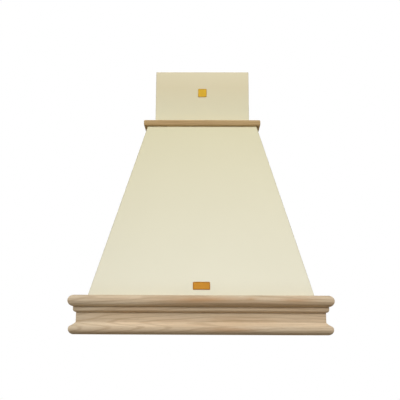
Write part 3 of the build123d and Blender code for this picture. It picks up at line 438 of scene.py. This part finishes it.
# folded steel of canopy and chimney
canopy = {
    "lowHalf": 262.0, "lowFront": 452.0, "highHalf": 149.0, "highFront": 264.0, "skirt": 88.0, "top": 558.0,
    "sheet": 1.0, "flange": 16.0, "fold": 3.0, "rear": -1.0, "foldSteps": 13, "riseSteps": 12,
}
chimney = {
    "half": 130.0, "front": 240.0, "low": 557.0, "top": 726.0, "hem": 8.0, "foot": 13.0, "sheet": 1.0,
    "fold": 2.2, "rear": 0.0, "arris": 0.5, "foldSteps": 13,
}


def cornerPoints(inset, half, front, fold, turn):
    # plan of a folded corner: an arc of the fold's radius less the inset, about a centre behind both faces
    held, left = np.maximum(fold, inset), np.maximum(fold - inset, 0)
    x = -(half - held) - left * np.cos(turn)
    y = -(front - held) - left * np.sin(turn)
    return x, y


def foldedSheets(name, section, half, front, sizes, replaced, paint, whole=False):
    # a closed section (inset, height) carried from the wall round both folded corners and back to the wall;
    # the side panels end and the front panel starts at the middle of each fold
    inset, height = section.T
    quarter = np.radians(np.linspace(0, 90, sizes["foldSteps"]))[:, None]
    x, y = cornerPoints(inset, half, front, sizes["fold"], quarter)
    corner = np.stack([x, y, height + 0 * quarter], -1)
    wall = np.stack([-(half - inset), 0 * inset + sizes["rear"], height], -1)[None]
    left = np.concatenate([wall, corner])
    right = (left * np.array([-1.0, 1.0, 1.0]))[::-1]
    if whole:
        ringPiece(name, np.concatenate([left, right]), paint, "hood", "cream_paint", replaced, sharp=30.0)
        return
    middle = 1 + len(quarter) // 2 + 1
    parts = {"front": np.concatenate([left[middle - 1:], right[:len(right) - middle + 1]]),
             "left": left[:middle], "right": right[len(right) - middle:]}
    for hand, node in zip(hands, replaced):
        ringPiece(f"{name}-{hand}", parts[hand], paint, "hood", "cream_paint", [node], sharp=30.0)


def canopySection(c):  # up the outer face, in along the flange under the rail, and down the inner face
    rise = np.linspace(c["skirt"], c["top"], c["riseSteps"])
    outer = np.concatenate([[[0, 0]], np.stack([0 * rise, rise], -1)])
    inner = np.stack([0 * rise + c["sheet"], np.minimum(rise, c["top"] - c["sheet"])], -1)[::-1]
    flange = [[c["flange"], c["top"]], [c["flange"], c["top"] - c["sheet"]]]
    return np.concatenate([outer, flange, inner, [[c["sheet"], 0]]])


def chimneySection(c):  # up the outer face, in over the hem, down the inner face and in along the foot
    sheet, low, top, hem, foot = (c[key] for key in ("sheet", "low", "top", "hem", "foot"))
    corners = [[0, low], [0, top], [2 * sheet, top], [2 * sheet, top - hem], [sheet, top - hem],
               [sheet, low + sheet], [foot, low + sheet], [foot, low]]
    return eased(np.array(corners), c["arris"])


section = canopySection(canopy)
share = np.clip((section[:, 1] - canopy["skirt"]) / (canopy["top"] - canopy["skirt"]), 0, 1)
foldedSheets("canopy", section, canopy["lowHalf"] + share * (canopy["highHalf"] - canopy["lowHalf"]),
             canopy["lowFront"] + share * (canopy["highFront"] - canopy["lowFront"]), canopy,
             [f"canopy_{hand}" for hand in hands], finishes["cream_paint"])
foldedSheets("chimneyCover", chimneySection(chimney), chimney["half"], chimney["front"], chimney,
             ["chimney_cover"], chimneyPaint, whole=True)
print("folded steel: 4 pieces")


# two bare plates
plates = {
    "lowerPlate": {"size": (40.2, 20.2), "centre": (1.1, 111.6), "thick": 1.1, "corner": 2.2, "rim": 1.9,
                   "field": (176, 121, 30), "border": (154, 102, 24), "sloped": True},
    "upperPlate": {"size": (23.9, 23.7), "centre": (0.2, 664.1), "thick": 1.1, "corner": 2.6, "rim": 1.5,
                   "field": (208, 167, 46), "border": (180, 138, 38), "sloped": False},
}
plateEdge = [(0.0, 0.35), (0.12, 0.10), (0.35, 0.0)]  # inset from the edge, depth under the face
plateStep = [(-0.3, 0.0), (0.0, 0.12), (0.25, 0.38), (1.4, 0.40)]  # the same, from the rim's inner side
gilt = {
    "metallic": 0.25, "sheen": 0.15, "spots": 160.0, "drift": 0.30, "brush": 5200.0, "stretch": (0.05, 1, 1),
    "roughness": (0.42, 0.60), "depth": 0.00002, "blend": 0.6,
}


def plateFinish(name, g, field, border, reach):  # a stamped plate whose border runs darker
    made, tree, shader, place = startFinish(name, Metallic=g["metallic"], Specular_IOR_Level=g["sheen"])
    inset = addNode(tree, "Attribute", attribute_name="inset").outputs["Fac"]
    spots = noise(tree, place, g["spots"], 3.0)
    inner = spread(tree, inset, 0.0, 1.0, reach * g["blend"], reach)
    tone = mixColours(tree, inner, linear(*border), linear(*field))
    tone = mixColours(tree, spread(tree, spots, 0.0, g["drift"]), tone, linear(*border))
    brushed = noise(tree, mapped(tree, place, g["stretch"]), g["brush"], 2.0)
    tree.links.new(tone, shader.inputs["Base Color"])
    tree.links.new(spread(tree, brushed, *g["roughness"]), shader.inputs["Roughness"])
    addBump(tree, shader, brushed, g["depth"])
    return made


def roundedPlan(width, height, radius, count=8):  # a rectangle with quarter-circle corners
    corners = [(1, 1, 0), (-1, 1, 90), (-1, -1, 180), (1, -1, 270)]
    pieces = [arc((sx * (width / 2 - radius), sy * (height / 2 - radius)), radius, start, start + 90, count)
              for sx, sy, start in corners]
    return np.concatenate(pieces)


def addPlate(name, p):
    # rings of one rounded plan, each drawn in by an inset and lifted to its own height: edge, rim, sunk field
    width, height = p["size"]
    thick, rim = p["thick"], p["rim"]
    steps = [(0.0, 0.0)] + [(i, thick - deep) for i, deep in plateEdge]
    steps += [(rim + i, thick - deep) for i, deep in plateStep]
    plan = [roundedPlan(width - 2 * i, height - 2 * i, max(p["corner"] - i, 0.3)) for i, _ in steps]
    across, along = np.stack(plan)[..., 0], np.stack(plan)[..., 1]
    lift = np.array([h for _, h in steps])[:, None] + 0 * across
    x0, z0 = p["centre"]
    slope, y0 = 0, -chimney["front"]
    if p["sloped"]:
        slope = math.atan2(canopy["lowFront"] - canopy["highFront"], canopy["top"] - canopy["skirt"])
        y0 = -canopy["lowFront"] + (z0 - canopy["skirt"]) * math.tan(slope)
    y = y0 + along * math.sin(slope) - lift * math.cos(slope)
    z = z0 + along * math.cos(slope) + lift * math.sin(slope)
    inset = np.array([i for i, _ in steps])[:, None] + 0 * across
    finish = plateFinish(name + "Gilt", gilt, p["field"], p["border"], rim)
    ringPiece(name, np.stack([x0 + across, y, z], -1), finish, "hood", sharp=40.0, inset=inset)


for name, p in plates.items():
    addPlate(name, p)
print("bare plates: 2")


# the other nodes
def plainName(node):
    first, *rest = node.split("_")
    return first + "".join(word.title() for word in rest)


slotOf = {row["node"]: row["material_slot"] for row in record["subparts"]}
sharpCopy = 32.0  # degrees: an edge that bends more stays sharp


def smoothCopy(node):  # a CAD node's loose triangles joined and shaded smooth, with its sharp edges kept
    mesh = nodes[node].data.copy()
    mesh.attributes.remove(mesh.attributes["custom_normal"])  # it belongs to the loose triangles
    working = bmesh.new()
    working.from_mesh(mesh)
    bmesh.ops.remove_doubles(working, verts=working.verts, dist=1e-6)
    working.to_mesh(mesh)
    working.free()
    mesh.polygons.foreach_set("use_smooth", np.ones(len(mesh.polygons), bool))
    mesh.set_sharp_from_angle(angle=math.radians(sharpCopy))
    mesh.materials.clear()
    mesh.materials.append(finishes[slotOf[node]])
    made = bpy.data.objects.new(plainName(node), mesh)
    scene.collection.objects.link(made)
    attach(made, nodes[node]["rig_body"])
    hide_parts(node)
    return made


curved = ["scroll_left", "scroll_right", "outlet_adapter", "outlet_collar", "fan_wheel", "motor",
          "motor_shaft", "motor_bracket", "inlet_guard", "capacitor", "cable_gland", "backdraught_flap_left",
          "backdraught_flap_right", "flap_pin", "lamp_bezel_left", "lamp_bezel_right", "lamp_lens_left",
          "lamp_lens_right", "lamp_case_left", "lamp_case_right", "control_plate", "terminal_lid",
          "filter_latch_left", "filter_latch_right", "chimney_screws", "moulding_screws", "rim_screws",
          "rail_screws", "collar_screws"]
curved += [row["node"] for row in record["subparts"] if row["node"].startswith("button_")]
for node in curved:
    smoothCopy(node)
for node, made in nodes.items():
    made.data.materials.clear()
    made.data.materials.append(finishes[slotOf[node]])
print("nodes given finishes:", len(nodes), "of them smoothed:", len(curved))


# filter faces of expanded metal
openMesh = {
    "opening": (8.0, 228.0), "rear": -52.0, "front": -372.0, "clearance": 1.0, "border": 12.0,
    "frontRail": 30.0, "pitch": 8.0, "row": 3.2, "strand": (0.9, 0.34), "tilt": 30.0,
    "height": 24.42,  # just under the pleats
}


def filterFace(hand, side):
    # rows of zigzag strands, every second row mirrored, so that neighbours meet and leave diamonds
    m = openMesh
    near = m["opening"][0] + m["clearance"] + m["border"]
    far = m["opening"][1] - m["clearance"] - m["border"]
    start, end = m["front"] + m["clearance"] + m["frontRail"], m["rear"] - m["clearance"] - m["border"]
    turns = 2 * round((far - near) / m["pitch"])
    x = np.linspace(near, far, turns + 1)
    zigzag = np.where(np.arange(turns + 1) % 2, 0.5, -0.5)
    rows = int((end - start) / m["row"])
    wide, thick = m["strand"]
    tilt = math.radians(m["tilt"])
    sectionY = np.array([-wide, wide, wide, -wide]) / 2 * math.cos(tilt)
    sectionY += np.array([-thick, -thick, thick, thick]) / 2 * math.sin(tilt)
    sectionZ = np.array([-thick, -thick, thick, thick]) / 2
    shapes = []
    for i in range(rows):
        y = start + (i + 0.5) * m["row"] + zigzag * m["row"] * (1 if i % 2 else -1)
        ring = np.broadcast_arrays(side * x[:, None], y[:, None] + sectionY, m["height"] + sectionZ)
        shapes.append(np.stack(ring, -1))
    points, faces = gathered(shapes)
    finish = finishes["filter_aluminium"]
    addPiece(f"filterFace-{hand}", points, faces, finish, f"filter_{hand}", "filter_mesh")


filterFace("left", -1)
filterFace("right", 1)
print("filter faces: 2")


# room, lights and camera
room = {
    "floorHeight": -1600.0, "floorHalf": 14000.0, "floorColour": (166, 153, 133), "floorRoughness": 0.8,
    "glow": 0.90, "fade": (2700.0, 9000.0), "ambient": (0.92, 0.96, 1.0), "ambientStrength": 0.03,
}
lamps = [
    # name, place, aimed at, size, power, colour
    ("keyLamp", (250, -4600, 5000), (0, -350, 300), 4000, 243.0, (1.0, 1.0, 1.0)),
    ("leftLamp", (-2600, -2600, 1800), (0, -350, 250), 1500, 30.5, (1.0, 1.0, 1.0)),
    ("rightLamp", (2600, -2600, 1800), (0, -350, 250), 1500, 35.0, (1.0, 1.0, 1.0)),
    ("backLamp", (-700, 1900, 1300), (0, 0, 400), 1400, 12.0, (1.0, 1.0, 1.0)),
]


def addLamp(name, place, target, size, power, colour):
    data = bpy.data.lights.new(name, "AREA")
    data.size, data.energy, data.color = size * mm, power, colour
    made = bpy.data.objects.new(name, data)
    place, target = np.array(place, float) * mm, np.array(target, float) * mm
    back = (place - target) / np.linalg.norm(place - target)
    side = np.cross((0, 0, 1), back)
    side /= np.linalg.norm(side)
    turned = np.eye(4)
    turned[:3] = np.stack([side, np.cross(back, side), back, place], -1)
    made.matrix_world = Matrix(turned.tolist())
    scene.collection.objects.link(made)


def seenDirectly(tree):  # 1 for what the camera, a mirror or a glass shows, 0 for what lights the object
    path = addNode(tree, "LightPath").outputs
    first = addNode(tree, "Math", {0: path["Is Camera Ray"], 1: path["Is Glossy Ray"]}, operation="MAXIMUM")
    links = {0: first.outputs[0], 1: path["Is Transmission Ray"]}
    return addNode(tree, "Math", links, operation="MAXIMUM").outputs[0]


def buildRoom():
    world = bpy.data.worlds.new("studio")
    scene.world = world
    world.use_nodes = True
    tree = world.node_tree
    tree.nodes.clear()
    white = addNode(tree, "Background", {"Color": (1, 1, 1, 1), "Strength": 1.0})
    links = {"Color": room["ambient"] + (1,), "Strength": room["ambientStrength"]}
    ambient = addNode(tree, "Background", links)
    both = addNode(tree, "MixShader", {0: seenDirectly(tree), 1: ambient.outputs[0], 2: white.outputs[0]})
    tree.links.new(both.outputs[0], addNode(tree, "OutputWorld").inputs["Surface"])
    half, low = room["floorHalf"] * mm, room["floorHeight"] * mm
    mesh = bpy.data.meshes.new("floor")
    corners = [(-half, -half, low), (half, -half, low), (half, half, low), (-half, half, low)]
    mesh.from_pydata(corners, [], [(0, 1, 2, 3)])
    floor = bpy.data.objects.new("floor", mesh)
    scene.collection.objects.link(floor)
    pale = bpy.data.materials.new("paleFloor")
    pale.use_nodes = True
    tree = pale.node_tree
    shader = tree.nodes["Principled BSDF"]
    shader.inputs["Base Color"].default_value = linear(*room["floorColour"])
    shader.inputs["Roughness"].default_value = room["floorRoughness"]
    white = addNode(tree, "Emission", {"Color": (1, 1, 1, 1), "Strength": 1.0})
    place = addNode(tree, "TexCoord").outputs["Object"]
    reach = addNode(tree, "VectorMath", {"Vector": place}, operation="LENGTH").outputs["Value"]
    near, far = room["fade"]
    share = spread(tree, reach, room["glow"], 1.0, near * mm, far * mm)
    share = addNode(tree, "Math", {0: seenDirectly(tree), 1: share}, operation="MULTIPLY").outputs[0]
    both = addNode(tree, "MixShader", {0: share, 1: shader.outputs[0], 2: white.outputs[0]})
    under = addNode(tree, "NewGeometry").outputs["Backfacing"]  # a view from under the floor looks through it
    clear = addNode(tree, "BsdfTransparent")
    both = addNode(tree, "MixShader", {0: under, 1: both.outputs[0], 2: clear.outputs[0]})
    tree.links.new(both.outputs[0], tree.nodes["Material Output"].inputs["Surface"])
    mesh.materials.append(pale)


cameraFit = {"place": (10.64, -1963.33, -0.80), "yaw": 0.5231, "tilt": 11.7485, "roll": 0.2543,
             "focal": 650.0, "frame": 400.0, "sensor": 36.0}


def addCamera(c):  # yaw about z, then tilt up, then roll about the line of sight
    yaw, tilt, roll = (math.radians(c[k]) for k in ("yaw", "tilt", "roll"))
    right = np.array([math.cos(yaw), math.sin(yaw), 0])
    level = np.array([-math.sin(yaw), math.cos(yaw), 0])
    ahead = math.cos(tilt) * level + math.sin(tilt) * np.array([0, 0, 1])
    up = np.cross(right, ahead)
    turned = np.eye(4)
    turned[:3, 0] = math.cos(roll) * right + math.sin(roll) * up
    turned[:3, 1] = math.cos(roll) * up - math.sin(roll) * right
    turned[:3, 2] = -ahead
    turned[:3, 3] = np.array(c["place"]) * mm
    data = bpy.data.cameras.new("camera")
    data.sensor_width = c["sensor"]
    data.lens = c["focal"] / c["frame"] * c["sensor"]
    data.clip_start, data.clip_end = 0.01, 100
    made = bpy.data.objects.new("camera", data)
    made.matrix_world = Matrix(turned.tolist())
    scene.collection.objects.link(made)
    scene.camera = made


buildRoom()
for lamp in lamps:
    addLamp(*lamp)
addCamera(cameraFit)
scene.view_settings.view_transform = "Standard"
print("room, lamps and camera ready")
